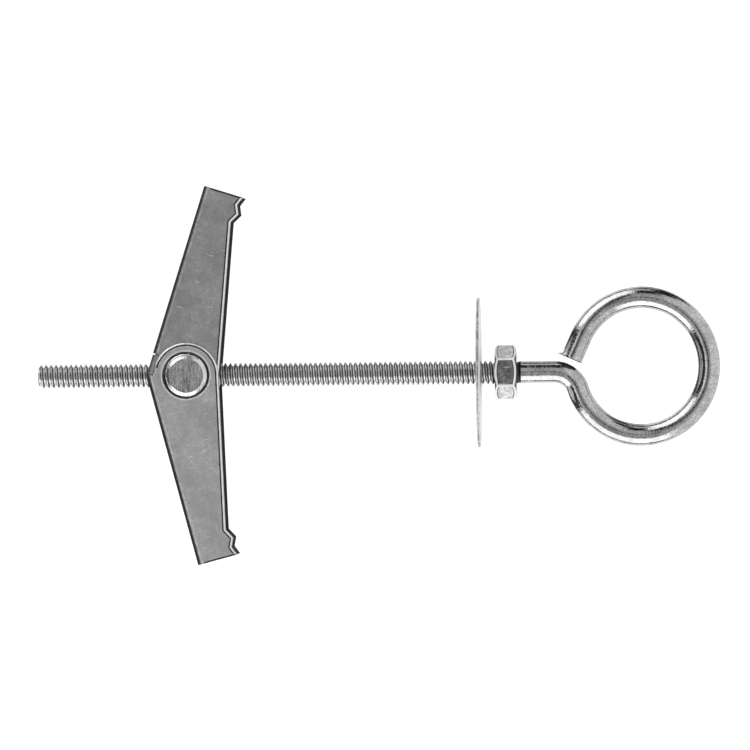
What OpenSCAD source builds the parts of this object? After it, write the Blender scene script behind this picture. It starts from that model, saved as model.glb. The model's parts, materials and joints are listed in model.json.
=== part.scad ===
// Spring toggle bolt with a wire eye, a wide washer and a hex nut.
// Built about the bolt's axis (+X, towards the eye) with the wings' pivot at the centre,
// then laid down as it comes to rest: on the washer's rim and the fold of one wing.

/* [Eye bolt] */
// Outside diameter of the rolled thread
thread_d = 4.8; // [4.6:0.1:5]
// Length of the bolt from the pivot to its threaded tip
tip_reach = 29.9; // [20:0.1:40]
// Distance from the pivot to the end of the thread
thread_end = 66.2; // [66:0.2:70]
// Diameter of the plain wire, which is the blank that the thread is rolled on
wire_d = 4.4; // [4:0.1:4.6]
// Mean diameter of the eye's wide bow
eye_d = 27.6; // [22:0.2:32]
// Distance from the pivot to the centre of that bow
eye_x = 90.5; // [88:0.1:100]
// Height of the bow's centre over the bolt's axis
eye_rise = 1; // [0:0.1:2]
// Centreline radius of the bend at the eye's neck
neck_r = 5; // [4:0.1:6]
// Angle round the eye at which the wire's last stretch runs on straight
eye_stop = 156; // [150:1:160]
// Length of that straight stretch, which stops short of the neck
eye_tail = 4.8; // [1:0.1:5]

/* [Wings] */
// Thickness of the sheet that the wings are folded from
sheet_t = 0.9; // [0.7:0.05:1]
// Outside width of a wing's channel
channel_w = 12.4; // [12.4:0.1:14]
// Length of a wing from the pivot to its tip
wing_reach = 37.2; // [34:0.1:44]
// Distance from the pivot to the outside of a wing's web
web_drop = 7.7; // [7.5:0.1:8.5]
// Radius of the round end that a wing has about the pivot
hub_r = 6.5; // [5.6:0.1:6.6]
// Taper of a wing's open edge towards its web, in degrees
edge_taper = 12.6; // [10:0.2:13]
// Lean of an open wing from square to the bolt, in degrees
open_lean = 16.2; // [10:0.2:20]
// Turn of the open pair about the pivot, which leans the upper wing more and the lower one less
pair_turn = 1.4; // [0:0.1:2]
// Inside radius of the two folds
fold_r = 0.3; // [0.2:0.05:0.5]
// Clearance between the overlapping plates of the two wings
layer_gap = 0.1; // [0.05:0.05:0.2]

/* [Pivot] */
// Diameter of the threaded cross pin
trunnion_d = 8.6; // [8:0.1:9]
// Running clearance of the pin in the wings, on the radius
pin_play = 0.06; // [0.02:0.01:0.1]
// How far the pin stands out of the wings at each end
pin_proud = 0.25; // [0:0.05:0.3]

/* [Spring] */
// Diameter of the spring wire
spring_wire = 0.7; // [0.5:0.05:0.7]
// Mean diameter of the coil, which winds tighter as the wings fold
coil_d = 10.4; // [10:0.1:10.6]
// Length of the spring's legs along the wings
spring_leg = 16; // [10:1:18]

/* [Washer and nut] */
// Outside diameter of the washer
washer_d = 30; // [24:0.5:34]
// Diameter of the washer's hole
washer_hole_d = 5.6; // [5.2:0.1:6]
// Thickness of the washer
washer_t = 0.7; // [0.6:0.1:1.5]
// Distance from the pivot to the washer's middle
washer_x = 58.3; // [45:0.1:60]
// Width of the nut across its flats
nut_af = 9.45; // [8:0.05:10]
// Height of the nut
nut_h = 4.3; // [3.2:0.1:4.4]
// Distance from the pivot to the nut's face on the washer's side
nut_x = 61.5; // [61:0.1:61.6]

/* [Hidden] */
$fn = 64;

// Bolt
thread_r = thread_d / 2;
wire_r = wire_d / 2;
tip_chamfer = 0.6;
runout = 0.5;
bore_r = thread_r + 0.05;
countersink = 0.5;

// Eye: a wide bow with a tighter arc at each end of it. A reverse bend leaves the axis and meets the
// lower arc on the line between their centres. Every second piece is a hair thinner and starts inside
// its neighbours, so that all unite cleanly.
eye_r = eye_d / 2;
bow_start = -70;
bow_end = 60;
bow_lap = 1;
foot_r = eye_r - 0.6;
foot_x = eye_x + (eye_r - foot_r) * cos(bow_start);
foot_y = eye_rise + (eye_r - foot_r) * sin(bow_start);
end_r = eye_r - 0.6;
end_x = eye_x + (eye_r - end_r) * cos(bow_end);
end_y = eye_rise + (eye_r - end_r) * sin(bow_end);
neck_drop = neck_r + foot_y;
neck_x = foot_x - sqrt(pow(foot_r + neck_r, 2) - neck_drop * neck_drop);
neck_angle = asin(neck_drop / (foot_r + neck_r));
neck_lap = 2;
tail_lap = 0.2;
lap_r = wire_r - 0.03;

// Wings, drawn with the open side at +X, the tip at +Y and the pivot along Z
fold_out = fold_r + sheet_t;
web_in = web_drop - sheet_t;
layer_step = sheet_t + layer_gap;
stop_gap = 0.15;
edge_r = hub_r - 0.02;
edge_v = edge_r / cos(edge_taper);
tooth_start = wing_reach - 5.4;
tooth = [0.57, wing_reach - 3.5];
notch = [-0.24, wing_reach - 1.75];
tip_v = 0.45;
web_start = 2.3;
tongue_z = 3.2;
relief = 0.3;
ear_inset = 0.15;
apex_u = (stop_gap / 2 - web_drop * sin(open_lean)) / cos(open_lean);

// Pivot
trunnion_r = trunnion_d / 2;
trunnion_len = channel_w + layer_step + 2 * pin_proud;
pin_chamfer = 0.45;

// Spring: one wire from the upper wing to the lower one, which crosses over the bolt between two coils
spring_r = spring_wire / 2;
coil_r = coil_d / 2;
coil_pitch = spring_wire + 0.05;
coil_z = 4.35;
leg_v = spring_r + 0.05 - web_in;
leg_point = wing_point(leg_v, spring_leg);
leg_touch = atan2(leg_point[1], leg_point[0]) + acos(coil_r / norm(leg_point));
coil_sweep = 1440 - 2 * leg_touch;
cross_half = 50;
cross_start = 810 - cross_half - leg_touch;
cross_end = 810 + cross_half - leg_touch;
coil_steps = 84;

// Washer and nut
washer_lift = washer_hole_d / 2 - thread_r - 0.05;
nut_corner_r = nut_af / 2 / cos(30);
rim_round = 0.15;

// Rest: the washer's rim and the outer fold of the upper wing touch the floor
rim_x = washer_x - washer_t / 2 + rim_round;
rim_z = washer_lift - washer_d / 2;
fold_axis_x = (web_drop - fold_out) / cos(open_lean + pair_turn);
fold_axis_z = (channel_w + layer_step) / 2 - fold_out;
prop_rise = -rim_z - fold_axis_z;
prop_run = rim_x + fold_axis_x;
rest_pitch = atan2(prop_rise, prop_run) - asin(fold_out / norm([prop_rise, prop_run]));
rest_roll = asin(tan(open_lean + pair_turn) * tan(rest_pitch));
rest_height = fold_axis_x * sin(rest_pitch) + fold_axis_z * cos(rest_pitch) * cos(rest_roll) + fold_out;
far_x = (eye_x + eye_r) * cos(rest_pitch) + lap_r;
near_x = -tip_reach * cos(rest_pitch) - (thread_r - tip_chamfer) * sin(rest_pitch);

// A point of the open upper wing, seen along the pivot before the pair is turned
function wing_point(v, u) = [
    v * cos(open_lean) + u * sin(open_lean),
    u * cos(open_lean) - v * sin(open_lean)
];

// Lays the bolt's frame on the floor, with the box's middle over the origin
module laid() {
    translate([-(far_x + near_x) / 2, 0, rest_height])
        rotate([-rest_roll, -rest_pitch, 0])
            children();
}

// Turns what opens with the wings about the pivot
module turned() {
    rotate([0, 0, -pair_turn])
        children();
}

// Along the bolt from x, with its axis on X
module along_bolt(x) {
    translate([x, 0, 0])
        rotate([90, 0, 90])
            children();
}

module wire_bend(radius, start, sweep, thick) {
    rotate([0, 0, start])
        rotate_extrude(angle = sweep)
            translate([radius, 0])
                circle(thick);
}

// Rolled thread, its run-out and the plain shank, up to the neck
module bolt_shank() {
    along_bolt(0)
        rotate_extrude()
            polygon([
                [0, -tip_reach],
                [thread_r - tip_chamfer, -tip_reach],
                [thread_r, tip_chamfer - tip_reach],
                [thread_r, thread_end],
                [wire_r, thread_end + runout],
                [wire_r, neck_x],
                [0, neck_x]
            ]);
}

module eye_bolt() {
    color("silver") laid() {
        bolt_shank();
        translate([neck_x, -neck_r, 0])
            wire_bend(neck_r, neck_angle - neck_lap, 90 - neck_angle + 2 * neck_lap, lap_r);
        translate([foot_x, foot_y, 0])
            wire_bend(foot_r, 180 + neck_angle, 180 + bow_start - neck_angle, wire_r);
        translate([eye_x, eye_rise, 0])
            wire_bend(eye_r, bow_start - bow_lap, bow_end - bow_start + 2 * bow_lap, lap_r);
        translate([end_x, end_y, 0]) {
            wire_bend(end_r, bow_end, eye_stop - bow_end, wire_r);
            rotate([0, 0, eye_stop])
                translate([end_r, -tail_lap, 0])
                    rotate([-90, 0, 0])
                        cylinder(h = eye_tail + tail_lap, r = lap_r);
        }
    }
}

// Cross pin that the wings turn on, tapped through its middle for the bolt
module trunnion_nut() {
    color("lightgray") laid() difference() {
        union() {
            cylinder(h = trunnion_len - 2 * pin_chamfer, r = trunnion_r, center = true);
            for (end = [0, 1])
                mirror([0, 0, end])
                    translate([0, 0, trunnion_len / 2 - pin_chamfer])
                        cylinder(h = pin_chamfer, r1 = trunnion_r, r2 = trunnion_r - pin_chamfer);
        }
        along_bolt(-trunnion_d) cylinder(h = 2 * trunnion_d, r = bore_r);
        for (side = [0, 1])
            mirror([side, 0, 0])
                along_bolt(trunnion_r - 2 * countersink)
                    cylinder(h = 2 * countersink, r1 = bore_r, r2 = bore_r + 2 * countersink);
    }
}

// Side view of a wing: round at the pivot, tapered to a toothed tip that grips the panel. The open
// edge starts a hair inside the round end, so that the two cross and unite cleanly.
module plate_outline() {
    circle(hub_r);
    polygon([
        [0, stop_gap / 2 / cos(open_lean)],
        [-web_drop, apex_u],
        [-web_drop, wing_reach],
        [tip_v, wing_reach],
        notch,
        tooth,
        [edge_v - tooth_start * tan(edge_taper), tooth_start],
        [edge_r * cos(edge_taper), edge_r * sin(edge_taper)]
    ]);
}

// Block with two round corners at x, open at the other end
module round_block(x, width, radius) {
    translate([x + radius, -width / 2]) square([web_drop + hub_r, width]);
    translate([x, radius - width / 2]) square([web_drop, width - 2 * radius]);
    for (side = [-1, 1])
        translate([x + radius, side * (width / 2 - radius)]) circle(radius);
}

// Sheet folded twice into a channel that runs along the wing
module folded_channel() {
    translate([0, wing_reach + 1, 0])
        rotate([90, 0, 0])
            linear_extrude(height = wing_reach + hub_r + 2)
                difference() {
                    round_block(-web_drop, channel_w, fold_out);
                    round_block(-web_in, channel_w - 2 * sheet_t, fold_r);
                }
}

// One stamping, used twice. The web is cut back for the bolt, apart from a tongue beside one
// plate. The other plate has a flat ear there, which stops against the other wing's tongue.
module wing() {
    cut_edge = fold_out - web_drop;
    difference() {
        union() {
            difference() {
                intersection() {
                    folded_channel();
                    linear_extrude(height = channel_w, center = true) plate_outline();
                }
                translate([-web_drop - 1, -web_drop, -tongue_z])
                    cube([1 + web_drop + cut_edge, web_drop + web_start, channel_w]);
            }
            translate([0, 0, channel_w / 2 - sheet_t])
                linear_extrude(height = sheet_t)
                    intersection() {
                        plate_outline();
                        translate([ear_inset - web_drop, -web_drop])
                            square([web_drop + cut_edge, web_drop + web_start - relief]);
                    }
        }
        cylinder(h = 2 * channel_w, r = trunnion_r + pin_play, center = true);
    }
}

// The wing as it stands open, one plate in from the pivot's middle
module open_wing() {
    translate([0, 0, -layer_step / 2])
        rotate([0, 0, -open_lean])
            wing();
}

module upper_wing() {
    color("darkgray") laid() turned() open_wing();
}

module lower_wing() {
    color("darkgray") laid() turned() rotate([180, 0, 0]) open_wing();
}

// Height of the coiled wire at an angle along it: a coil, the smooth crossing, and the other coil
function coil_height(a) =
    let (
        near_z = coil_z - coil_pitch * min(a, cross_start) / 360,
        far_z = coil_pitch * (coil_sweep - max(a, cross_end)) / 360 - coil_z,
        part = min(max((a - cross_start) / (cross_end - cross_start), 0), 1)
    )
    near_z + (far_z - near_z) * (1 - cos(180 * part)) / 2;

function spring_route() = concat(
    [[leg_point[0], leg_point[1], coil_z]],
    [for (i = [0:coil_steps]) let (a = coil_sweep * i / coil_steps) [
        coil_r * cos(leg_touch + a),
        coil_r * sin(leg_touch + a),
        coil_height(a)
    ]],
    [[leg_point[0], -leg_point[1], -coil_z]]
);

function unit(v) = v / norm(v);

// The direction of a route at point i, from its two neighbours
function heading(route, i) = unit(route[min(i + 1, len(route) - 1)] - route[max(i - 1, 0)]);

// A normal that is carried from ring to ring with as little twist as possible
function carried(route, i, normal) =
    let (along = heading(route, i))
    unit(normal - (normal * along) * along);

function normals(route) = [
    for (i = 0, n = carried(route, 0, [0, 0, 1]);
        i < len(route);
        i = i + 1, n = i < len(route) ? carried(route, i, n) : n)
    n
];

// Round wire swept along a route of points
module swept_wire(route, radius, sides) {
    across = normals(route);
    last = len(route) - 1;
    points = [
        for (i = [0:last], k = [0:sides - 1])
            let (a = 360 * k / sides, up = cross(heading(route, i), across[i]))
            route[i] + radius * (cos(a) * across[i] + sin(a) * up)
    ];
    walls = [
        for (i = [0:last - 1], k = [0:sides - 1])
            let (next = (k + 1) % sides)
            [i * sides + k, (i + 1) * sides + k, (i + 1) * sides + next, i * sides + next]
    ];
    start_cap = [[for (k = [0:sides - 1]) k]];
    end_cap = [[for (k = [sides - 1:-1:0]) last * sides + k]];
    polyhedron(points, concat(walls, start_cap, end_cap));
}

// A leg on each wing, and a coil about the pin on each side of the bolt
module torsion_spring() {
    color("dimgray") laid() turned() swept_wire(spring_route(), spring_r, 8);
}

// The loose washer stands on the floor, and the thread rests in its hole
module washer() {
    color("gainsboro") laid()
        translate([0, 0, washer_lift])
            along_bolt(washer_x - washer_t / 2)
                difference() {
                    union() {
                        translate([0, 0, rim_round])
                            cylinder(h = washer_t - 2 * rim_round, r = washer_d / 2);
                        cylinder(h = rim_round, r1 = washer_d / 2 - rim_round, r2 = washer_d / 2);
                        translate([0, 0, washer_t - rim_round])
                            cylinder(h = rim_round, r1 = washer_d / 2, r2 = washer_d / 2 - rim_round);
                    }
                    translate([0, 0, -1]) cylinder(h = washer_t + 2, r = washer_hole_d / 2);
                }
}

// Corners chamfered at 30 degrees on both faces, with a countersunk thread
module hex_nut() {
    corner_drop = (nut_corner_r - nut_af / 2) * tan(30);
    color("silver") laid() along_bolt(nut_x) difference() {
        intersection() {
            cylinder(h = nut_h, r = nut_corner_r, $fn = 6);
            rotate_extrude() polygon([
                [0, 0],
                [nut_af / 2, 0],
                [nut_corner_r, corner_drop],
                [nut_corner_r, nut_h - corner_drop],
                [nut_af / 2, nut_h],
                [0, nut_h]
            ]);
        }
        translate([0, 0, -1]) cylinder(h = nut_h + 2, r = bore_r);
        for (face = [0, 1])
            translate([0, 0, face * nut_h])
                mirror([0, 0, face])
                    cylinder(h = countersink, r1 = bore_r + countersink, r2 = bore_r);
    }
}

eye_bolt();
trunnion_nut();
upper_wing();
lower_wing();
torsion_spring();
washer();
hex_nut();
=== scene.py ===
import json
import math

import bmesh
import bpy
from mathutils import Matrix, Vector


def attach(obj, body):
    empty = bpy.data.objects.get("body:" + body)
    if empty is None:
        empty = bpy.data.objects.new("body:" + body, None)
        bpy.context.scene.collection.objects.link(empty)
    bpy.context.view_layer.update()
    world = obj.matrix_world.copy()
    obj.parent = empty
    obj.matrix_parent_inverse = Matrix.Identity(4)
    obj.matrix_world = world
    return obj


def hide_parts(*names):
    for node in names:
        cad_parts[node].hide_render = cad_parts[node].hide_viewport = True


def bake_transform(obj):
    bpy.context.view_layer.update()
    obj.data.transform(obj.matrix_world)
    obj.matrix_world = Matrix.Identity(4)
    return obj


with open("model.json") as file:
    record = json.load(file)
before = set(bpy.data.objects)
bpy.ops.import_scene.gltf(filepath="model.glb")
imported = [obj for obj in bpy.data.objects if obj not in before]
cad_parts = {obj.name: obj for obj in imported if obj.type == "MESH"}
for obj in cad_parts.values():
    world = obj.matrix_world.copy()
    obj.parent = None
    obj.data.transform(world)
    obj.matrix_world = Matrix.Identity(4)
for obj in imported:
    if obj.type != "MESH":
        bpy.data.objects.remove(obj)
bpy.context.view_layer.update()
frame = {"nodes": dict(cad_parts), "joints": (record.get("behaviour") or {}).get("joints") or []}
mm = 0.001
scene = bpy.context.scene
print("frame loaded:", ", ".join(sorted(frame["nodes"])))


# The bolt's own frame: X along the bolt to the eye, Z along the pivot, origin at the pivot
def jointNamed(name):
    return next(joint for joint in frame["joints"] if joint["name"] == name)


pivotJoint = jointNamed("lower_wing_fold")
boltAxis = Vector(jointNamed("toggle_travel")["axis"]).normalized()
pivotAxis = Vector(pivotJoint["axis"]).normalized()
sideAxis = pivotAxis.cross(boltAxis)
boltTurn = Matrix((boltAxis, sideAxis, pivotAxis)).transposed().to_4x4()
boltFrame = Matrix.Translation(Vector(pivotJoint["pos_m"])) @ boltTurn
wingLean = math.radians(16.2)  # how far an open wing leans towards the eye
pairTurn = math.radians(1.4)  # how far the open pair is turned about its pivot
pairFrame = boltFrame @ Matrix.Rotation(-pairTurn, 4, "Z")
halfStep = 0.5 * mm  # the plates overlap at the hub, so each channel sits off the middle by this much
plateShift = Matrix.Rotation(-wingLean, 4, "Z") @ Matrix.Translation((0, 0, -halfStep))
upperWingFrame = pairFrame @ plateShift
lowerWingFrame = pairFrame @ Matrix.Rotation(math.pi, 4, "X") @ plateShift


def boltPoint(x, y, z):  # millimetres along the bolt's frame, as a place in the row
    return boltFrame @ (Vector((x, y, z)) * mm)


# Camera: square on to the pivot, a little towards the eye, as the photo has it
cameraView = {
    "target": (37.5, -0.3, 0),
    "tilt": 2.1,  # degrees from the pivot's axis towards the eye
    "roll": 0.53,  # degrees that the bolt climbs to the right
    "distance": 1.5,
    "field": 0.15,  # metres across the picture
}


def aimCamera(view):
    tilt = math.radians(view["tilt"])
    roll = math.radians(view["roll"])
    back = pivotAxis * math.cos(tilt) + boltAxis * math.sin(tilt)
    level = boltAxis * math.cos(tilt) - pivotAxis * math.sin(tilt)
    right = level * math.cos(roll) - sideAxis * math.sin(roll)
    up = back.cross(right)
    place = boltPoint(*view["target"]) + back * view["distance"]
    data = bpy.data.cameras.new("photoCamera")
    data.lens = data.sensor_width * view["distance"] / view["field"]
    data.clip_end = 20
    camera = bpy.data.objects.new("photoCamera", data)
    camera.matrix_world = Matrix.Translation(place) @ Matrix((right, up, back)).transposed().to_4x4()
    scene.collection.objects.link(camera)
    scene.camera = camera


aimCamera(cameraView)
print("camera aimed")


# Small helpers for node trees
def addNode(tree, kind, **settings):
    node = tree.nodes.new(kind)
    for name, value in settings.items():
        setattr(node, name, value)
    return node


def feed(tree, socket, value):  # a link where value is a socket, or else a constant
    if isinstance(value, bpy.types.NodeSocket):
        tree.links.new(value, socket)
    else:
        socket.default_value = value


def calc(tree, operation, *values):
    node = addNode(tree, "ShaderNodeMath", operation=operation)
    for socket, value in zip(node.inputs, values):
        feed(tree, socket, value)
    return node.outputs[0]


def remap(tree, value, low, high, toLow, toHigh, curve="LINEAR"):
    node = addNode(tree, "ShaderNodeMapRange", interpolation_type=curve)
    names = ("Value", "From Min", "From Max", "To Min", "To Max")
    for name, number in zip(names, (value, low, high, toLow, toHigh)):
        feed(tree, node.inputs[name], number)
    return node.outputs["Result"]


def mixColour(tree, factor, first, second):
    node = addNode(tree, "ShaderNodeMix", data_type="RGBA")
    feed(tree, node.inputs["Factor"], factor)
    feed(tree, node.inputs[6], first)
    feed(tree, node.inputs[7], second)
    return node.outputs[2]


coolTint = (1, 1.002, 1.008)  # zinc is a trace bluer than grey
fleckTone = 0.6  # flecks, against the darker tone of their finish
streakTone = 0.8  # and rolling streaks


def grey(level):
    return (*(level * part for part in coolTint), 1)


# Shader groups that several finishes share
def newGroup(name, inputs, outputs):
    tree = bpy.data.node_groups.new(name, "ShaderNodeTree")
    tree.interface.new_socket("Vector", in_out="INPUT", socket_type="NodeSocketVector")
    for label, value in inputs.items():
        socket = tree.interface.new_socket(label, in_out="INPUT", socket_type="NodeSocketFloat")
        socket.default_value = value
    for label in outputs:
        tree.interface.new_socket(label, in_out="OUTPUT", socket_type="NodeSocketFloat")
    return tree, addNode(tree, "NodeGroupInput"), addNode(tree, "NodeGroupOutput")


def noise(tree, vector, scale, detail=3.0, roughness=0.55):
    node = addNode(tree, "ShaderNodeTexNoise")
    feed(tree, node.inputs["Vector"], vector)
    feed(tree, node.inputs["Scale"], scale)
    node.inputs["Detail"].default_value = detail
    node.inputs["Roughness"].default_value = roughness
    return node.outputs["Fac"]


def stretched(tree, vector, turn, scale):  # coordinates turned about Z, then scaled per axis
    node = addNode(tree, "ShaderNodeMapping")
    feed(tree, node.inputs["Vector"], vector)
    node.inputs["Rotation"].default_value = (0, 0, math.radians(turn))
    node.inputs["Scale"].default_value = scale
    return node.outputs["Vector"]


def makeMottleGroup():  # cloudy patches and fine grains of a plated surface
    tree, given, result = newGroup("platingMottle", {"Patch": 0.5, "Grain": 5.0}, ("Cloud", "Grain"))
    cloud = noise(tree, given.outputs["Vector"], given.outputs["Patch"], 4.0, 0.6)
    grain = noise(tree, given.outputs["Vector"], given.outputs["Grain"], 2.0, 0.7)
    feed(tree, result.inputs["Cloud"], remap(tree, cloud, 0.35, 0.65, 0, 1, "SMOOTHSTEP"))
    feed(tree, result.inputs["Grain"], remap(tree, grain, 0.36, 0.64, 0, 1))
    return tree


def makeMarksGroup():  # short bright scratches and worn flecks from handling
    tree, given, result = newGroup("handlingMarks", {"Density": 0.5}, ("Scratch", "Fleck"))
    vector = given.outputs["Vector"]
    level = remap(tree, given.outputs["Density"], 0, 1, 0.8, 0.62)
    scratch = 0
    for turn, scale in ((12, (0.22, 3.4, 1)), (-48, (0.3, 4.2, 1)), (83, (0.25, 3.0, 1))):
        lines = noise(tree, stretched(tree, vector, turn, scale), 1.0, 2.0, 0.5)
        shown = remap(tree, lines, level, calc(tree, "ADD", level, 0.035), 0, 1)
        scratch = calc(tree, "MAXIMUM", scratch, shown)
    flecks = noise(tree, vector, 1.9, 3.0, 0.62)
    gather = noise(tree, vector, 0.17, 1.0, 0.5)
    fleckLevel = calc(tree, "SUBTRACT", calc(tree, "ADD", level, 0.1), calc(tree, "MULTIPLY", gather, 0.22))
    fleckTop = calc(tree, "ADD", fleckLevel, 0.05)
    feed(tree, result.inputs["Scratch"], scratch)
    feed(tree, result.inputs["Fleck"], remap(tree, flecks, fleckLevel, fleckTop, 0, 1))
    return tree


def makeWingShadeGroup():  # painted shade round the pivot hole, with grease there too, painted shade inside the folded channel, and painted shade along the outside of the fold
    limits = {"Ring": 4.62, "Depth": 5.36, "Web": 6.85, "Bend": 5.0}
    tree, given, result = newGroup("wingShadeMasks", limits, ("GreaseAndShade", "Inside", "FoldShade"))
    spot = addNode(tree, "ShaderNodeSeparateXYZ")
    feed(tree, spot.inputs[0], given.outputs["Vector"])
    across = calc(tree, "POWER", spot.outputs["X"], 2)
    radius = calc(tree, "SQRT", calc(tree, "ADD", across, calc(tree, "POWER", spot.outputs["Y"], 2)))
    ragged = calc(tree, "MULTIPLY_ADD", noise(tree, given.outputs["Vector"], 1.3), 0.12, radius)
    reach = calc(tree, "SUBTRACT", ragged, given.outputs["Ring"])
    height = calc(tree, "ABSOLUTE", spot.outputs["Z"])
    depth = calc(tree, "SUBTRACT", height, given.outputs["Depth"])
    behind = calc(tree, "ADD", spot.outputs["X"], given.outputs["Web"])
    within = remap(tree, depth, -0.04, 0.04, 1, 0)
    inside = calc(tree, "MULTIPLY", within, remap(tree, behind, -0.04, 0.04, 0, 1))
    bent = remap(tree, calc(tree, "SUBTRACT", height, given.outputs["Bend"]), -0.1, 0.1, 0, 1)
    feed(tree, result.inputs["FoldShade"], calc(tree, "MULTIPLY", bent, remap(tree, behind, -0.34, -0.14, 1, 0)))
    feed(tree, result.inputs["GreaseAndShade"], remap(tree, reach, 0, 0.1, 1, 0, "SMOOTHSTEP"))
    feed(tree, result.inputs["Inside"], inside)
    return tree


mottleGroup = makeMottleGroup()
marksGroup = makeMarksGroup()
wingShadeGroup = makeWingShadeGroup()


def useGroup(tree, group, vector, **values):
    node = addNode(tree, "ShaderNodeGroup", node_tree=group)
    feed(tree, node.inputs["Vector"], vector)
    for name, value in values.items():
        feed(tree, node.inputs[name], value)
    return node.outputs


def newFinish(name, pieceFrame):  # a metal, with coordinates in millimetres along the piece's own frame
    material = bpy.data.materials.new(name)
    material.use_nodes = True
    tree = material.node_tree
    tree.nodes.clear()
    output = addNode(tree, "ShaderNodeOutputMaterial")
    metal = addNode(tree, "ShaderNodeBsdfPrincipled")
    metal.inputs["Metallic"].default_value = 1
    tree.links.new(metal.outputs["BSDF"], output.inputs["Surface"])
    where = addNode(tree, "ShaderNodeTexCoord")
    turn = pieceFrame.to_3x3().transposed()
    mapping = addNode(tree, "ShaderNodeMapping")
    mapping.inputs["Scale"].default_value = (1 / mm,) * 3
    mapping.inputs["Rotation"].default_value = turn.to_euler()
    mapping.inputs["Location"].default_value = turn @ pieceFrame.to_translation() / -mm
    tree.links.new(where.outputs["Object"], mapping.inputs["Vector"])
    return material, tree, metal, mapping.outputs["Vector"]


def setBump(tree, metal, height, distance):
    bump = addNode(tree, "ShaderNodeBump")
    feed(tree, bump.inputs["Height"], height)
    bump.inputs["Distance"].default_value = distance * mm
    tree.links.new(bump.outputs["Normal"], metal.inputs["Normal"])


def makeZincFinish(name, look):  # bright zinc, cloudy and finely grained
    material, tree, metal, vector = newFinish(name, boltFrame)
    metal.inputs["Metallic"].default_value = look.get("metallic", 1)
    mottle = useGroup(tree, mottleGroup, vector, Patch=look["patch"], Grain=look["grain"])
    marks = useGroup(tree, marksGroup, vector, Density=look["marks"])
    base = mixColour(tree, mottle["Cloud"], grey(look["dark"]), grey(look["light"]))
    flecked = remap(tree, mottle["Grain"], 0, 1, look["fleck"], 0)
    grained = mixColour(tree, flecked, base, grey(look["dark"] * fleckTone))
    worn = mixColour(tree, marks["Scratch"], grained, grey(look["scratch"]))
    if "flank" in look:  # painted shade on the flanks of a thread, and a painted highlight in its roots
        spot = addNode(tree, "ShaderNodeSeparateXYZ")
        feed(tree, spot.inputs[0], vector)
        square = calc(tree, "POWER", spot.outputs["Y"], 2)
        radius = calc(tree, "SQRT", calc(tree, "ADD", square, calc(tree, "POWER", spot.outputs["Z"], 2)))
        low, high, soft = look["flank"]
        rise = remap(tree, radius, low - soft, low, 0, 1, "SMOOTHSTEP")
        fall = remap(tree, radius, high, high + soft, 1, 0, "SMOOTHSTEP")
        dirty = calc(tree, "MULTIPLY", rise, fall)
        # painted highlight: the roots turn white and diffuse
        rooted = remap(tree, radius, low - 2 * soft, low - soft, 1, 0)
        rootHighlight = calc(tree, "MULTIPLY", rooted, look["rootHighlightAmount"])
        worn = mixColour(tree, dirty, mixColour(tree, rootHighlight, worn, grey(look["root"])), grey(look["dirt"]))
        shiny = calc(tree, "SUBTRACT", 1, calc(tree, "MAXIMUM", dirty, rootHighlight))
        feed(tree, metal.inputs["Metallic"], shiny)
    feed(tree, metal.inputs["Base Color"], worn)
    rough = calc(tree, "MULTIPLY_ADD", mottle["Grain"], look["roughSpread"], look["rough"])
    feed(tree, metal.inputs["Roughness"], rough)
    setBump(tree, metal, mottle["Grain"], look["bump"])
    return material


def makeWingFinish(name, wingFrame, look):  # dull plated sheet with rolling grain, scuffs and scratches, and painted shade round the pivot hole, inside the channel and along the fold
    material, tree, metal, vector = newFinish(name, wingFrame)
    mottle = useGroup(tree, mottleGroup, vector, Patch=look["patch"], Grain=look["grain"])
    marks = useGroup(tree, marksGroup, vector, Density=look["marks"])
    shadeMasks = useGroup(tree, wingShadeGroup, vector)
    rolling = noise(tree, stretched(tree, vector, 0, look["rollingScale"]), 1.0, 2.0, 0.6)
    blotch = useGroup(tree, mottleGroup, vector, Patch=look["mottle"], Grain=look["grain"])
    clouded = mixColour(tree, mottle["Cloud"], grey(look["dark"]), grey(look["light"]))
    patches = calc(tree, "MULTIPLY", blotch["Cloud"], look["blotches"])
    speckle = calc(tree, "MULTIPLY_ADD", blotch["Grain"], look["speckles"], patches)
    base = mixColour(tree, speckle, clouded, grey(look["dark"] * fleckTone))
    streaks = remap(tree, rolling, 0.3, 0.7, 0, look["rolling"])
    grained = mixColour(tree, streaks, base, grey(look["dark"] * streakTone))
    scuffed = calc(tree, "MAXIMUM", marks["Scratch"], marks["Fleck"])
    shown = mixColour(tree, calc(tree, "MULTIPLY", scuffed, look["scuffs"]), grained, grey(look["scratch"]))
    # painted shade along the outside of the fold
    bent = mixColour(tree, shadeMasks["FoldShade"], shown, grey(look["fold"]))
    # painted shade inside the channel
    dulled = mixColour(tree, shadeMasks["Inside"], bent, grey(look["inside"]))
    # painted shade round the pivot hole, with grease there too
    feed(tree, metal.inputs["Base Color"], mixColour(tree, shadeMasks["GreaseAndShade"], dulled, grey(look["greaseAndShadeTone"])))
    rough = calc(tree, "MULTIPLY_ADD", mottle["Grain"], look["roughSpread"], look["rough"])
    feed(tree, metal.inputs["Roughness"], calc(tree, "MULTIPLY_ADD", scuffed, -0.1, rough))
    height = calc(tree, "MULTIPLY_ADD", rolling, 0.5, mottle["Grain"])
    setBump(tree, metal, calc(tree, "MULTIPLY_ADD", scuffed, -0.8, height), look["bump"])
    return material


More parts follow.
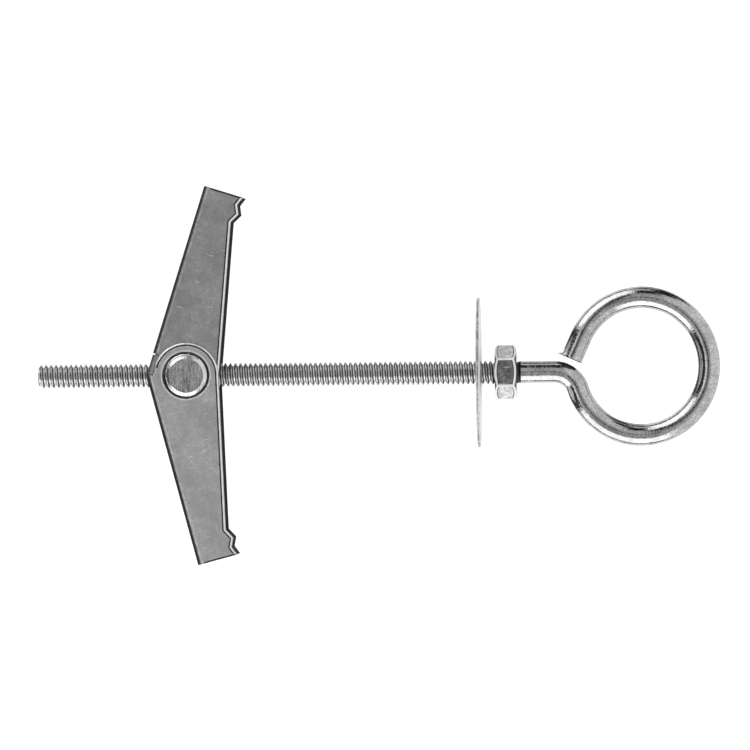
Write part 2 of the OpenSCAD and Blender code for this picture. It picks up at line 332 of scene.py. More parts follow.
def makePinFinish(name, look):  # turned steel, with tool marks drawn across its ends
    material, tree, metal, vector = newFinish(name, boltFrame)
    mottle = useGroup(tree, mottleGroup, vector, Patch=look["patch"], Grain=look["grain"])
    marks = noise(tree, stretched(tree, vector, 0, look["toolScale"]), 1.0, 3.0, 0.6)
    furrow = remap(tree, marks, 0.36, 0.6, 0, 1, "SMOOTHSTEP")
    base = mixColour(tree, furrow, grey(look["dark"]), grey(look["light"]))
    clouds = remap(tree, mottle["Cloud"], 0, 1, 0, look["clouds"])
    cloudy = mixColour(tree, clouds, base, grey(look["light"]))
    feed(tree, metal.inputs["Base Color"], cloudy)
    rough = calc(tree, "MULTIPLY_ADD", mottle["Grain"], look["roughSpread"], look["rough"])
    feed(tree, metal.inputs["Roughness"], rough)
    setBump(tree, metal, furrow, look["bump"])
    return material


wireLook = {"dark": 0.46, "light": 0.64, "scratch": 0.95, "patch": 0.35, "grain": 2.4, "fleck": 0.6,
            "marks": 0.3, "rough": 0.04, "roughSpread": 0.08, "bump": 0.008}
threadLook = dict(wireLook, dark=0.42, light=0.54, fleck=0.2, rough=0.08, dirt=0.004, rootHighlightAmount=0.4, root=1,
                  flank=(1.93, 2.34, 0.02))  # radii between which the flanks are painted dark, a painted shade, and how softly that ends
nutLook = {"dark": 0.16, "light": 0.36, "scratch": 0.9, "patch": 0.9, "grain": 2.4, "fleck": 0.6,
           "marks": 0.45, "rough": 0.36, "roughSpread": 0.15, "bump": 0.03}
washerLook = {"dark": 0.1, "light": 0.62, "metallic": 0.4, "scratch": 0.9, "patch": 0.5, "grain": 1.6,
              "fleck": 0.7, "marks": 0.4, "rough": 0.25, "roughSpread": 0.2, "bump": 0.015}
springLook = {"dark": 0.28, "light": 0.4, "scratch": 0.6, "patch": 0.6, "grain": 3.0, "fleck": 0.3,
              "marks": 0.3, "rough": 0.3, "roughSpread": 0.15, "bump": 0.01}
# lighter copy of the nut's finish: painted light on the faces turned to either side, while the darker nut
# finish stands for their shade
faceLook = dict(nutLook, dark=0.55, light=0.98, metallic=0.2)
# lighter finish for eased and rolled edges: worn zinc, with a painted highlight
edgeLook = {"dark": 0.74, "light": 0.86, "scratch": 0.95, "patch": 0.6, "grain": 2.5, "fleck": 0.2,
            "marks": 0.3, "rough": 0.38, "roughSpread": 0.15, "bump": 0.01}
roundLook = dict(edgeLook, dark=0.66, light=0.78, rough=0.2, roughSpread=0.06)
# painted highlight, white and half diffuse, for rims and for the washer's face towards the nut
rimLook = dict(edgeLook, dark=0.85, light=0.98, metallic=0.2)
creaseLook = dict(edgeLook, dark=0.03, light=0.08, scratch=0.2)
# the inside, grease and fold tones are painted shade: inside the channel, round the pivot hole (where there
# is grease too) and along the fold
wingLook = {"dark": 0.46, "light": 0.66, "scratch": 0.97, "patch": 0.22, "grain": 2.6, "rolling": 0.35,
            "rollingScale": (5.0, 0.25, 1), "mottle": 1.1, "blotches": 0.25, "speckles": 0.55,
            "marks": 0.42, "scuffs": 0.4, "inside": 0.1, "greaseAndShadeTone": 0.012, "fold": 0.17,
            "rough": 0.3, "roughSpread": 0.12, "bump": 0.012}
pinLook = {"dark": 0.36, "light": 0.78, "patch": 0.4, "clouds": 0.4, "grain": 2.4,
           "toolScale": (1.9, 0.16, 1), "rough": 0.16, "roughSpread": 0.1, "bump": 0.02}

wireZinc = makeZincFinish("wireZinc", wireLook)
threadZinc = makeZincFinish("threadZinc", threadLook)
nutZinc = makeZincFinish("nutZinc", nutLook)
washerZinc = makeZincFinish("washerZinc", washerLook)
springSteel = makeZincFinish("springSteel", springLook)
litNutFace = makeZincFinish("litNutFace", faceLook)
pinRound = makeZincFinish("pinRound", roundLook)
rimHighlight = makeZincFinish("rimHighlight", rimLook)
brightEdge = makeZincFinish("brightEdge", edgeLook)
shadedCrease = makeZincFinish("shadedCrease", creaseLook)
upperSheet = makeWingFinish("upperSheet", upperWingFrame, wingLook)
lowerSheet = makeWingFinish("lowerSheet", lowerWingFrame, dict(wingLook, dark=0.64, light=0.86))
pinSteel = makePinFinish("pinSteel", pinLook)
print("finishes made")


# Geometry trees, and the plain meshes that they leave
def newTree(name, floats, integers):
    tree = bpy.data.node_groups.new(name, "GeometryNodeTree")
    tree.is_modifier = True
    tree.interface.new_socket("Geometry", in_out="INPUT", socket_type="NodeSocketGeometry")
    for label in floats:
        tree.interface.new_socket(label, in_out="INPUT", socket_type="NodeSocketFloat")
    for label in integers:
        tree.interface.new_socket(label, in_out="INPUT", socket_type="NodeSocketInt")
    tree.interface.new_socket("Finish", in_out="INPUT", socket_type="NodeSocketMaterial")
    tree.interface.new_socket("Geometry", in_out="OUTPUT", socket_type="NodeSocketGeometry")
    given = addNode(tree, "NodeGroupInput")
    return tree, given.outputs


def endTree(tree, given, geometry):
    realized = addNode(tree, "GeometryNodeRealizeInstances")
    finish = addNode(tree, "GeometryNodeSetMaterial")
    output = addNode(tree, "NodeGroupOutput")
    feed(tree, realized.inputs["Geometry"], geometry)
    feed(tree, finish.inputs["Geometry"], realized.outputs["Geometry"])
    feed(tree, finish.inputs["Material"], given["Finish"])
    feed(tree, output.inputs["Geometry"], finish.outputs["Geometry"])


def growMesh(tree, base, values):  # runs a tree on a base mesh and returns what it makes as a plain mesh
    carrier = bpy.data.objects.new(tree.name, base)
    scene.collection.objects.link(carrier)
    modifier = carrier.modifiers.new(tree.name, "NODES")
    modifier.node_group = tree
    for item in tree.interface.items_tree:
        if item.in_out == "INPUT" and item.name in values:
            modifier[item.identifier] = values[item.name]
    graph = bpy.context.evaluated_depsgraph_get()
    mesh = bpy.data.meshes.new_from_object(carrier.evaluated_get(graph))
    carrier.modifiers.remove(modifier)
    bpy.data.objects.remove(carrier)
    return mesh


def makeThreadTree():  # a grid, with a row for each step round the bolt and a column for each profile point
    sizes = ("Pitch", "Crest", "Root", "Start", "End", "Tip", "Shank", "Runout", "Seam", "Valley", "Ridge")
    tree, given = newTree("rolledThread", sizes, ("Sides", "Steps"))
    span = calc(tree, "SUBTRACT", given["End"], given["Start"])
    turns = calc(tree, "CEIL", calc(tree, "ADD", calc(tree, "DIVIDE", span, given["Pitch"]), 1))
    grid = addNode(tree, "GeometryNodeMeshGrid")
    feed(tree, grid.inputs["Vertices X"], calc(tree, "MULTIPLY_ADD", turns, given["Sides"], 1))
    feed(tree, grid.inputs["Vertices Y"], calc(tree, "ADD", given["Steps"], 1))
    grid.inputs["Size X"].default_value = 1
    grid.inputs["Size Y"].default_value = 1
    spot = addNode(tree, "ShaderNodeSeparateXYZ")
    feed(tree, spot.inputs[0], addNode(tree, "GeometryNodeInputPosition").outputs[0])
    turn = calc(tree, "MULTIPLY", calc(tree, "ADD", spot.outputs["X"], 0.5), turns)
    across = calc(tree, "ADD", spot.outputs["Y"], 0.5)
    along = calc(tree, "SUBTRACT", calc(tree, "ADD", turn, across), 1)
    reach = calc(tree, "MULTIPLY_ADD", along, given["Pitch"], given["Start"])
    ridge = calc(tree, "SUBTRACT", 1, calc(tree, "ABSOLUTE", calc(tree, "MULTIPLY_ADD", across, 2, -1)))
    flats = (given["Valley"], given["Ridge"])
    profile = remap(tree, ridge, *flats, given["Root"], given["Crest"], "SMOOTHSTEP")
    fade = remap(tree, reach, calc(tree, "SUBTRACT", given["End"], given["Runout"]), given["End"], 0, 1)
    faded = calc(tree, "MULTIPLY_ADD", calc(tree, "SUBTRACT", given["Shank"], profile), fade, profile)
    fromTip = calc(tree, "MAXIMUM", calc(tree, "SUBTRACT", reach, given["Start"]), 0)
    radius = calc(tree, "MINIMUM", faded, calc(tree, "ADD", given["Tip"], fromTip))
    angle = calc(tree, "MULTIPLY", turn, math.tau)
    place = addNode(tree, "ShaderNodeCombineXYZ")
    clipped = calc(tree, "MINIMUM", calc(tree, "MAXIMUM", reach, given["Start"]), given["End"])
    feed(tree, place.inputs["X"], clipped)
    feed(tree, place.inputs["Y"], calc(tree, "MULTIPLY", radius, calc(tree, "COSINE", angle)))
    feed(tree, place.inputs["Z"], calc(tree, "MULTIPLY", radius, calc(tree, "SINE", angle)))
    move = addNode(tree, "GeometryNodeSetPosition")
    feed(tree, move.inputs["Geometry"], grid.outputs["Mesh"])
    feed(tree, move.inputs["Position"], place.outputs[0])
    weld = addNode(tree, "GeometryNodeMergeByDistance")
    feed(tree, weld.inputs["Geometry"], move.outputs["Geometry"])
    feed(tree, weld.inputs["Distance"], given["Seam"])
    endTree(tree, given, weld.outputs["Geometry"])
    return tree


def makeWireTree():  # round wire along the edges of the base mesh
    tree, given = newTree("roundWire", ("Radius",), ("Sides",))
    route = addNode(tree, "GeometryNodeMeshToCurve")
    normal = addNode(tree, "GeometryNodeSetCurveNormal", mode="Z_UP")
    circle = addNode(tree, "GeometryNodeCurvePrimitiveCircle")
    sweep = addNode(tree, "GeometryNodeCurveToMesh")
    feed(tree, route.inputs["Mesh"], given["Geometry"])
    feed(tree, normal.inputs["Curve"], route.outputs["Curve"])
    feed(tree, circle.inputs["Radius"], given["Radius"])
    feed(tree, circle.inputs["Resolution"], given["Sides"])
    feed(tree, sweep.inputs["Curve"], normal.outputs["Curve"])
    feed(tree, sweep.inputs["Profile Curve"], circle.outputs["Curve"])
    endTree(tree, given, sweep.outputs["Mesh"])
    return tree


threadTree = makeThreadTree()
wireTree = makeWireTree()


def routeMesh(name, points):  # a line of edges through points in millimetres
    mesh = bpy.data.meshes.new(name)
    edges = [(i, i + 1) for i in range(len(points) - 1)]
    mesh.from_pydata([Vector(point) * mm for point in points], edges, [])
    return mesh


def arcPoints(centre, radius, start, end, step):  # degrees, in the bolt's XY plane
    count = max(2, math.ceil(abs(end - start) / step))
    angles = [math.radians(start + (end - start) * i / count) for i in range(count + 1)]
    return [(centre[0] + radius * math.cos(a), centre[1] + radius * math.sin(a), 0) for a in angles]


def smoothMesh(mesh, sharpAngle):
    mesh.polygons.foreach_set("use_smooth", [True] * len(mesh.polygons))
    mesh.set_sharp_from_angle(angle=math.radians(sharpAngle))


def addPiece(name, mesh, body, slotName, *nodes):  # a finished piece, on its body in place of its solids
    mesh.name = name
    piece = bpy.data.objects.new(name, mesh)
    scene.collection.objects.link(piece)
    if body:
        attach(piece, body)
    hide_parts(*nodes)
    return piece


# Eye bolt: rolled thread, shank, neck, eye and the cut end, as one skin
eyeBolt = {
    "pitch": 1.0,
    "crest": 2.4,
    "root": 1.83,
    "tipX": -29.9,
    "tipRadius": 1.8,
    "threadEnd": 66.7,
    "runout": 1.6,
    "wire": 2.2,
    "neck": 5,  # centreline radius of the bend
    "eye": 13.8,  # centreline radius of the wide bow
    "eyeX": 90.5,
    "eyeRise": 1.0,
    "footPinch": 0.6,  # how much tighter the arc next to the neck is
    "endPinch": 0.6,  # and the arc next to the cut end
    "bowStart": -70,
    "bowEnd": 60,
    "eyeStop": 156,  # degrees round the ring where the last stretch runs straight
    "tail": 4.8,
    "burr": 0.9,  # lip that the shears drew out on the cut end
    "burrLength": 0.6,
    "sides": 40,
    "steps": 16,  # points across one thread
    "valley": 0.2,  # part of the profile that is flat at the root
    "ridge": 0.84,  # and where the flat crest begins
    "seam": 0.002,  # corners of the thread this near are one
    "weld": 0.01,  # and so where the thread meets the shank
    "shankParts": 4,
    "neckStep": 4,  # degrees from ring to ring of the wire
    "eyeStep": 2,
    "endRound": 0.16,
    "sharpAngle": 50,
}


def pinchedArc(size, pinch, angle):  # centre and radius of an arc that meets the bow at an angle
    turn = math.radians(angle)
    centre = (size["eyeX"] + pinch * math.cos(turn), size["eyeRise"] + pinch * math.sin(turn))
    return centre, size["eye"] - pinch


def eyeRoute(size):  # from the thread's end to the cut end of the wire
    footCentre, footRadius = pinchedArc(size, size["footPinch"], size["bowStart"])
    endCentre, endRadius = pinchedArc(size, size["endPinch"], size["bowEnd"])
    drop = size["neck"] + footCentre[1]
    span = size["neck"] + footRadius
    neckX = footCentre[0] - math.sqrt(span**2 - drop**2)
    neckAngle = math.degrees(math.asin(drop / span))
    parts = size["shankParts"]
    step = size["eyeStep"]
    shank = [(size["threadEnd"] + (neckX - size["threadEnd"]) * i / parts, 0, 0) for i in range(parts)]
    neck = arcPoints((neckX, -size["neck"]), size["neck"], 90, neckAngle, size["neckStep"])
    foot = arcPoints(footCentre, footRadius, 180 + neckAngle, 360 + size["bowStart"], step)
    bow = arcPoints((size["eyeX"], size["eyeRise"]), size["eye"], size["bowStart"], size["bowEnd"], step)
    end = arcPoints(endCentre, endRadius, size["bowEnd"], size["eyeStop"], step)
    stop = math.radians(size["eyeStop"])
    heading = Vector((-math.sin(stop), math.cos(stop), 0))
    lengths = (size["tail"] / 3, size["tail"] * 2 / 3, size["tail"] - size["burrLength"], size["tail"])
    tail = [tuple(Vector(end[-1]) + heading * length) for length in lengths]
    return shank + neck + foot[1:] + bow[1:] + end[1:] + tail


def cutEnd(route):  # where the wire ends, and which way it points there
    last = Vector(route[-1]) * mm
    return last, (last - Vector(route[-2]) * mm).normalized()


def drawBurr(work, size, route):  # pulls the outer side of the last ring out into a lip
    last, heading = cutEnd(route)
    outward = Vector((heading.y, -heading.x, 0))
    for vert in work.verts:
        offset = vert.co - last
        if offset.length < 1.05 * size["wire"] * mm and abs(offset.dot(heading)) < 2 * size["weld"] * mm:
            lean = max(0, offset.dot(outward) / (size["wire"] * mm))
            vert.co += outward * size["burr"] * mm * lean**4


def shadeCutEnd(work, size, route):  # the cut end, raw steel from the shears, takes the third finish, a painted shade
    last, heading = cutEnd(route)
    for face in work.faces:
        offset = face.calc_center_median() - last
        ahead = offset.dot(heading) / mm
        if offset.length < 1.6 * size["wire"] * mm and -size["endRound"] < ahead < 1.5 * size["burrLength"]:
            face.material_index = 2


def makeEyeBolt(size):
    sizes = {"Pitch": size["pitch"], "Crest": size["crest"], "Root": size["root"], "Start": size["tipX"],
             "End": size["threadEnd"], "Tip": size["tipRadius"], "Shank": size["wire"],
             "Runout": size["runout"], "Seam": size["seam"]}
    values = {name: number * mm for name, number in sizes.items()}
    values.update({"Valley": size["valley"], "Ridge": size["ridge"]})
    values.update({"Sides": size["sides"], "Steps": size["steps"], "Finish": threadZinc})
    threadMesh = growMesh(threadTree, bpy.data.meshes.new("threadBase"), values)
    wireValues = {"Radius": size["wire"] * mm, "Sides": size["sides"], "Finish": wireZinc}
    route = eyeRoute(size)
    wireMesh = growMesh(wireTree, routeMesh("eyeRoute", route), wireValues)
    mesh = bpy.data.meshes.new("eyeBolt")
    for finish in (threadZinc, wireZinc, shadedCrease):
        mesh.materials.append(finish)
    work = bmesh.new()
    work.from_mesh(threadMesh)
    threadCount = len(work.faces)
    work.from_mesh(wireMesh)
    for number, face in enumerate(work.faces):
        face.material_index = int(number >= threadCount)
    bmesh.ops.remove_doubles(work, verts=work.verts, dist=size["weld"] * mm)
    drawBurr(work, size, route)
    openEdges = [edge for edge in work.edges if edge.is_boundary]
    caps = bmesh.ops.holes_fill(work, edges=openEdges, sides=0)["faces"]
    print("eye bolt:", len(openEdges), "open edges,", len(caps), "ends closed")
    rim = list({edge for face in caps for edge in face.edges})
    bmesh.ops.bevel(work, geom=rim, offset=size["endRound"] * mm, segments=2, affect="EDGES", profile=0.5)
    shadeCutEnd(work, size, route)
    bmesh.ops.recalc_face_normals(work, faces=work.faces)
    work.to_mesh(mesh)
    work.free()
    smoothMesh(mesh, size["sharpAngle"])
    mesh.transform(boltFrame)
    addPiece("eyeBolt", mesh, "bolt", "zinc_wire", "eye_bolt")


makeEyeBolt(eyeBolt)


# Pressed and turned pieces: copies of the solids with their edges eased
easedEdges = {
    "angle": 35,  # degrees; sharper edges are eased
    "segments": 2,
    "weld": 0.001,
    "flat": 0.5,  # degrees between triangles that make one face
    "faceWeight": 100,
    "squareOn": 0.9,  # part of its normal along an axis that makes a face look that way
}


def easedCopy(node, finishes, width, reshape=None):  # the eased edges take the last finish
    work = bmesh.new()
    work.from_mesh(frame["nodes"][node].data)
    bmesh.ops.remove_doubles(work, verts=work.verts, dist=easedEdges["weld"] * mm)
    flat = math.radians(easedEdges["flat"])
    bmesh.ops.dissolve_limit(work, angle_limit=flat, verts=work.verts, edges=work.edges)
    for face in work.faces:
        face.material_index = 0
    if reshape:
        reshape(work)
    weights = work.edges.layers.float.new("bevel_weight_edge")
    for edge in work.edges:
        if len(edge.link_faces) == 2 and edge.calc_face_angle() > math.radians(easedEdges["angle"]):
            edge[weights] = 1
        edge.smooth = len({face.material_index for face in edge.link_faces}) == 1
    mesh = bpy.data.meshes.new(node)
    work.to_mesh(mesh)
    work.free()
    for finish in finishes:
        mesh.materials.append(finish)
    mesh.shade_smooth()
    carrier = bpy.data.objects.new(node, mesh)
    scene.collection.objects.link(carrier)
    bevel = carrier.modifiers.new("easedEdges", "BEVEL")
    bevel.limit_method = "WEIGHT"
    bevel.width = width * mm
    bevel.segments = easedEdges["segments"]
    bevel.material = len(finishes) - 1
    normals = carrier.modifiers.new("flatFaces", "WEIGHTED_NORMAL")
    normals.mode = "FACE_AREA"
    normals.weight = easedEdges["faceWeight"]
    normals.keep_sharp = True  # where the finish changes
    graph = bpy.context.evaluated_depsgraph_get()
    eased = bpy.data.meshes.new_from_object(carrier.evaluated_get(graph))
    bpy.data.objects.remove(carrier)
    return eased


wing = {
    "plate": 6.2,  # from the channel's middle to the outside of a plate
    "web": 7.7,  # from the pivot to the outside of the web
    "fold": 1.2,  # outer radius of the folds
    "reach": 37.2,
    "rollWidth": 0.36,  # bright strip where the shears rolled the edge over
    "rollDrop": 0.16,
    "creaseWidth": 0.3,  # shaded line beside it
    "holeRim": 5.4,  # inside this radius the strips belong to the pivot hole
    "edgeRound": 0.14,
    "slack": 0.05,  # how near a face or a corner counts as on the plate or the fold
}


def rollEdges(work, size, wingFrame):  # the plates' sheared edges roll over, with a crease beside the roll
    inverse = wingFrame.inverted()
    foldX = size["fold"] - size["web"]
    plates = []
    for face in work.faces:
        spot = inverse @ face.calc_center_median() / mm
        facing = abs((inverse.to_3x3() @ face.normal).z)
        onPlate = abs(spot.z) > size["plate"] - size["slack"] and spot.x > foldX
        if onPlate and facing > easedEdges["squareOn"]:
            plates.append(face)
    settings = {"faces": plates, "use_boundary": True, "use_even_offset": True}
    rolled = bmesh.ops.inset_region(work, thickness=size["rollWidth"] * mm, **settings)["faces"]
    crease = bmesh.ops.inset_region(work, thickness=size["creaseWidth"] * mm, **settings)["faces"]
    kept = {vert for face in crease for vert in face.verts}
    drops = {}
    for face in rolled:
        for vert in face.verts:
            if vert not in kept and (inverse @ vert.co).x > (foldX + size["slack"]) * mm:
                drops[vert] = face.normal.copy()
    for vert, normal in drops.items():
        vert.co -= normal * size["rollDrop"] * mm
    for faces, finish, holeFinish in ((rolled, 1, 2), (crease, 2, 1)):
        for face in faces:
            spot = inverse @ face.calc_center_median() / mm
            atFold = spot.x < foldX + 2 * (size["rollWidth"] + size["creaseWidth"])
            atTip = spot.y > size["reach"] - size["rollWidth"] - size["creaseWidth"]
            if math.hypot(spot.x, spot.y) < size["holeRim"]:
                face.material_index = holeFinish
            elif atTip and not atFold:
                face.material_index = 2 if faces is rolled else 0
            elif not atFold:
                face.material_index = finish


pin = {
    "half": 6.95,  # from the pivot's middle to the end of the pin
    "roundWidth": 0.42,  # how far the rounding of the ends reaches in
    "slope": 25,  # degrees, of that rounding
    "offset": (0.08, -0.1),  # the turned face is a little off its middle
    "edgeRound": 0.1,
    "slack": 0.02,
}


def roundPinEnds(work):  # the ends slope off in a ring round a flat face
    inverse = boltFrame.inverted()
    ends = []
    for face in work.faces:
        spot = inverse @ face.calc_center_median() / mm
        if abs(spot.z) > pin["half"] - pin["slack"]:
            ends.append(face)
    ring = bmesh.ops.inset_region(work, faces=ends, thickness=pin["roundWidth"] * mm, use_boundary=True,
                                  use_even_offset=True)["faces"]
    for face in ring:
        face.material_index = 1
    inner = {vert for face in ends for vert in face.verts}
    shift = boltTurn.to_3x3() @ Vector((*pin["offset"], 0)) * mm
    fall = math.tan(math.radians(pin["slope"]))
    for vert in {vert for face in ring for vert in face.verts}:
        if vert in inner:
            vert.co += shift
        else:
            spot = inverse @ vert.co
            outward = Vector((spot.x, spot.y)).normalized()
            width = pin["roundWidth"] - outward.dot(Vector(pin["offset"]))
            vert.co -= pivotAxis * math.copysign(width * fall * mm, spot.z)


nut = {
    "sideArea": 8,  # square millimetres; the six sides are larger, and the bore's faces are smaller
    "rimWidth": 0.4,
    "creaseWidth": 0.16,  # dark line inside the rim
    "edgeRound": 0.05,
}


def paintNutFaceLight(work):  # painted highlight rims round the faces of the nut, and two pairs of faces painted lighter, as light falls on them
    sides = []
    for face in work.faces:
        if abs(face.normal.dot(boltAxis)) < 0.05 and face.calc_area() > nut["sideArea"] * mm * mm:
            sides.append(face)
    for width, finish in ((nut["rimWidth"], 3), (nut["creaseWidth"], 2)):
        rim = bmesh.ops.inset_individual(work, faces=sides, thickness=width * mm)["faces"]
        for face in rim:
            face.material_index = finish
    for face in sides:
        # painted light and shade: faces turned to either side take the lighter finish, the rest keep the
        # darker one
        face.material_index = int(abs(face.normal.dot(sideAxis)) > 0.5)


washer = {"edgeRound": 0.06}


def plateFaces(work):  # the washer is satin towards the panel, and painted white towards the nut, a painted highlight
    for face in work.faces:
        towardsNut = face.normal.dot(boltAxis)
        if abs(towardsNut) > easedEdges["squareOn"]:
            face.material_index = 2 if towardsNut > 0 else 1


def rollUpper(work):
    rollEdges(work, wing, upperWingFrame)


def rollLower(work):
    rollEdges(work, wing, lowerWingFrame)


upperMesh = easedCopy("upper_wing", (upperSheet, brightEdge, shadedCrease), wing["edgeRound"], rollUpper)
lowerMesh = easedCopy("lower_wing", (lowerSheet, brightEdge, shadedCrease), wing["edgeRound"], rollLower)
pinMesh = easedCopy("trunnion_nut", (pinSteel, pinRound), pin["edgeRound"], roundPinEnds)
washerMesh = easedCopy("washer", (washerZinc, brightEdge, rimHighlight), washer["edgeRound"], plateFaces)
nutMesh = easedCopy("hex_nut", (nutZinc, litNutFace, shadedCrease, rimHighlight), nut["edgeRound"], paintNutFaceLight)
addPiece("upperWing", upperMesh, "upper_wing", "wing_sheet", "upper_wing")
addPiece("lowerWing", lowerMesh, "lower_wing", "wing_sheet", "lower_wing")
addPiece("crossPin", pinMesh, "toggle", "turned_pin", "trunnion_nut")
addPiece("wideWasher", washerMesh, "washer", "zinc_washer", "washer")
addPiece("hexNut", nutMesh, "nut", "zinc_nut", "hex_nut")
print("wings, pin, washer and nut made")


# Torsion spring: one wire in two halves, each running from the coil round the pin to a leg along its own
# wing
spring = {
    "wire": 0.35,
    "coil": 5.2,  # mean radius
    "pitch": 0.75,
    "coilZ": 4.35,  # where the outermost turn leaves for its leg
    "legU": 16,  # how far the legs reach along the wings
    "legV": -6.4,
    "turns": 4,  # from leg to leg, if both legs left along the bolt
    "crossHalf": 50,  # degrees each side of the crossing's middle
    "step": 9,
    "sides": 14,
    "sharpAngle": 50,
}


def springRoute(size):
    leg = Matrix.Rotation(-wingLean, 2) @ Vector((size["legV"], size["legU"]))
    touch = math.degrees(math.atan2(leg.y, leg.x) + math.acos(size["coil"] / leg.length))
    sweep = size["turns"] * 360 - 2 * touch
    crossMiddle = size["turns"] * 180 + 90 - touch
    crossStart = crossMiddle - size["crossHalf"]
    crossEnd = crossMiddle + size["crossHalf"]
    nearEnd = size["coilZ"] - size["pitch"] * crossStart / 360
    farStart = size["pitch"] * (sweep - crossEnd) / 360 - size["coilZ"]
    count = math.ceil(sweep / size["step"])
    coil = []
    for i in range(count + 1):
        turned = sweep * i / count
        if turned < crossStart:
            z = size["coilZ"] - size["pitch"] * turned / 360
        elif turned > crossEnd:
            z = size["pitch"] * (sweep - turned) / 360 - size["coilZ"]
        else:
            part = (turned - crossStart) / (crossEnd - crossStart)
            z = nearEnd + (farStart - nearEnd) * (1 - math.cos(math.pi * part)) / 2
        angle = math.radians(touch + turned)
        coil.append((size["coil"] * math.cos(angle), size["coil"] * math.sin(angle), z))
    middle = min(range(len(coil)), key=lambda i: abs(coil[i][2]))
    nearHalf = [(leg.x, leg.y, size["coilZ"])] + coil[: middle + 1]
    farHalf = coil[middle:] + [(leg.x, -leg.y, -size["coilZ"])]  # the pair's turn comes with its frame
    return nearHalf, farHalf, nearEnd, farStart


def makeSpring(size):
    nearHalf, farHalf, nearEnd, farStart = springRoute(size)
    values = {"Radius": size["wire"] * mm, "Sides": size["sides"], "Finish": springSteel}
    halves = (("springNear", nearHalf, "upper_wing", nearEnd, size["coilZ"]),
              ("springFar", farHalf, "lower_wing", farStart, -size["coilZ"]))
    for name, points, body, innerZ, outerZ in halves:
        mesh = growMesh(wireTree, routeMesh(name, points), values)
        work = bmesh.new()
        work.from_mesh(mesh)
        bmesh.ops.holes_fill(work, edges=[edge for edge in work.edges if edge.is_boundary], sides=0)
        bmesh.ops.recalc_face_normals(work, faces=work.faces)
        work.to_mesh(mesh)
        work.free()
        smoothMesh(mesh, size["sharpAngle"])
        mesh.transform(pairFrame)
        half = addPiece(name, mesh, None, "spring_wire", "torsion_spring")
        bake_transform(half)


makeSpring(spring)
print("spring made")


# Floor and studio light
studio = {
    "floorSize": 8,
    "floorGrey": 0.5,
    "floorGlow": 0.85,  # lifts the floor to white in the picture
    "floorRough": 0.9,
    "floorShine": 0.1,
    "room": 0.6,  # grey of the tent overhead
    "backdrop": 0.85,
    "blur": 3,  # degrees of soft edge on each panel
}


def makeFloor(size):  # seen by the camera alone, so that the metal mirrors the tent all round
    mesh = bpy.data.meshes.new("floor")
    half = size["floorSize"] / 2
    corners = [(-half, -half, 0), (half, -half, 0), (half, half, 0), (-half, half, 0)]
    mesh.from_pydata(corners, [], [(0, 1, 2, 3)])
    floor = bpy.data.objects.new("floor", mesh)
    scene.collection.objects.link(floor)
    material = bpy.data.materials.new("paleFloor")
    material.use_nodes = True
    tree = material.node_tree
    paint = tree.nodes["Principled BSDF"]
    paint.inputs["Base Color"].default_value = grey(size["floorGrey"])
    paint.inputs["Roughness"].default_value = size["floorRough"]
    paint.inputs["Specular IOR Level"].default_value = size["floorShine"]
    paint.inputs["Emission Color"].default_value = grey(1)
    paint.inputs["Emission Strength"].default_value = size["floorGlow"]
    seen = addNode(tree, "ShaderNodeLightPath").outputs["Is Camera Ray"]
    clear = addNode(tree, "ShaderNodeBsdfTransparent")
    either = addNode(tree, "ShaderNodeMixShader")
    feed(tree, either.inputs["Fac"], seen)
    tree.links.new(clear.outputs["BSDF"], either.inputs[1])
    tree.links.new(paint.outputs["BSDF"], either.inputs[2])
    tree.links.new(either.outputs["Shader"], tree.nodes["Material Output"].inputs["Surface"])
    mesh.materials.append(material)


# Panels: name, azimuth and half width, nearest and furthest from overhead (all in degrees), brightness
tentPanels = (
    ("rightPanel", 0, 70, 22, 180, 0.95),
    ("nearFloor", 254, 48, 88, 180, 1.2),
    ("nearSoftbox", 254, 40, 43, 96, 2.2),
    ("nearLine", 254, 42, 97, 109, 0.03),
    ("cornerFloor", 122, 30, 90, 180, 1.1),
    ("cornerSoftbox", 122, 27, 42, 93, 2.2),
    ("cornerLine", 122, 28, 94, 107, 0.03),
    ("farFlag", 86, 11, 44, 112, 0.03),
    ("farTaper", 69, 8, 66, 128, 0.03),
    ("farTip", 58, 6, 92, 122, 0.05),
    ("farStrip", 90, 9, 80, 96, 1),
    ("leftFlag", 182, 32, 40, 136, 0.05),
    ("leftStrip", 180, 30, 30, 38, 1.6),
)
# Bars: name, reach along the bolt, reach across it (as parts of a mirrored direction), brightness
tentBars = (
    ("flagPole", -0.26, -0.08, -0.15, 0.74, 0.03),
    ("nearPole", -0.3, 0.4, -0.42, -0.34, 0.12),
    ("topPole", -0.2, 0.1, -0.06, 0.06, 0.1),
)


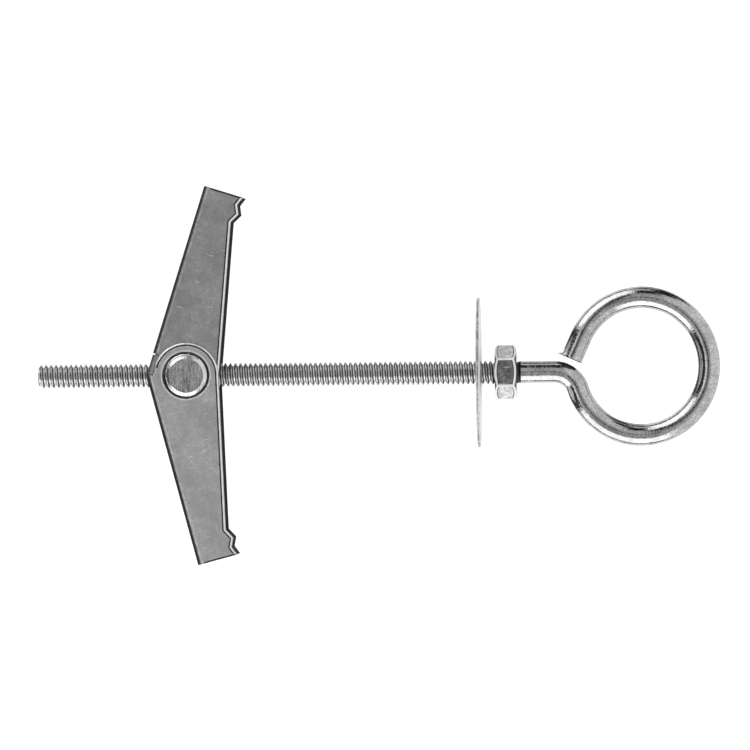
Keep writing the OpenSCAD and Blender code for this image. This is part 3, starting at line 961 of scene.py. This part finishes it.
def makeStudioRoom(size, panels, bars):  # a grey tent with softboxes and dark flags round the bolt
    world = bpy.data.worlds.new("studioRoom")
    world.use_nodes = True
    tree = world.node_tree
    direction = addNode(tree, "ShaderNodeTexCoord").outputs["Generated"]
    parts = []
    for axis in (boltAxis, sideAxis, pivotAxis):
        dot = addNode(tree, "ShaderNodeVectorMath", operation="DOT_PRODUCT")
        feed(tree, dot.inputs[0], direction)
        feed(tree, dot.inputs[1], axis)
        parts.append(dot.outputs["Value"])
    azimuth = calc(tree, "DEGREES", calc(tree, "ARCTAN2", parts[1], parts[0]))
    fall = calc(tree, "DEGREES", calc(tree, "ARCCOSINE", parts[2]))
    level = size["room"]
    blur = size["blur"]
    for name, centre, half, top, bottom, brightness in panels:
        turned = calc(tree, "WRAP", calc(tree, "SUBTRACT", azimuth, centre), 180, -180)
        away = calc(tree, "ABSOLUTE", turned)
        inside = remap(tree, away, half - blur, half + blur, 1, 0, "SMOOTHSTEP")
        below = remap(tree, fall, top - blur, top + blur, 0, 1, "SMOOTHSTEP")
        above = remap(tree, fall, bottom - blur, bottom + blur, 1, 0, "SMOOTHSTEP")
        mask = calc(tree, "MULTIPLY", inside, calc(tree, "MULTIPLY", below, above))
        mask.node.label = name
        level = calc(tree, "MULTIPLY_ADD", calc(tree, "SUBTRACT", brightness, level), mask, level)
    edge = math.radians(blur)
    for name, left, right, near, far, brightness in bars:
        limits = []
        for part, low, high in ((parts[0], left, right), (parts[1], near, far)):
            limits.append(remap(tree, part, low - edge, low + edge, 0, 1, "SMOOTHSTEP"))
            limits.append(remap(tree, part, high - edge, high + edge, 1, 0, "SMOOTHSTEP"))
        limits.append(remap(tree, parts[2], 0, edge, 0, 1))
        mask = 1
        for limit in limits:
            mask = calc(tree, "MULTIPLY", mask, limit)
        mask.node.label = name
        level = calc(tree, "MULTIPLY_ADD", calc(tree, "SUBTRACT", brightness, level), mask, level)
    seen = addNode(tree, "ShaderNodeLightPath").outputs["Is Camera Ray"]
    background = tree.nodes["Background"]
    background.inputs["Color"].default_value = grey(1)
    seenLevel = calc(tree, "MULTIPLY_ADD", calc(tree, "SUBTRACT", size["backdrop"], level), seen, level)
    feed(tree, background.inputs["Strength"], seenLevel)
    scene.world = world


makeFloor(studio)
makeStudioRoom(studio, tentPanels, tentBars)
scene.view_settings.view_transform = "Standard"
print("studio lit")
